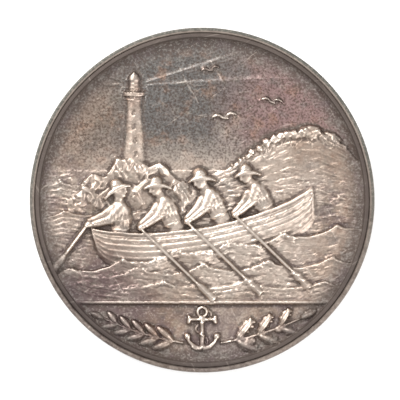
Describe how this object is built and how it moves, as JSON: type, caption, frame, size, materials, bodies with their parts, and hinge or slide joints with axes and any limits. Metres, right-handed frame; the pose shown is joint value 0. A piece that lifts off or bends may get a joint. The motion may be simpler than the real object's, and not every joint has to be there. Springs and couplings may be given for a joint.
{
  "type": "silver gallantry medal",
  "caption": "Round struck silver medal with a stepped rim and a sea rescue scene in relief on its front, for lying in a case or on a flat surface.",
  "frame": {"origin": "centre of the disc at the plane of the back rim, on which it rests", "axes": "+Z out of the pictorial front, +Y towards the top of the picture, +X to the picture's right"},
  "size_m": [0.058, 0.058, 0.005],
  "materials": {
    "silver": "toned and rubbed silver"
  },
  "bodies": {
    "root": {"medal": "silver"}
  },
  "joints": []
}
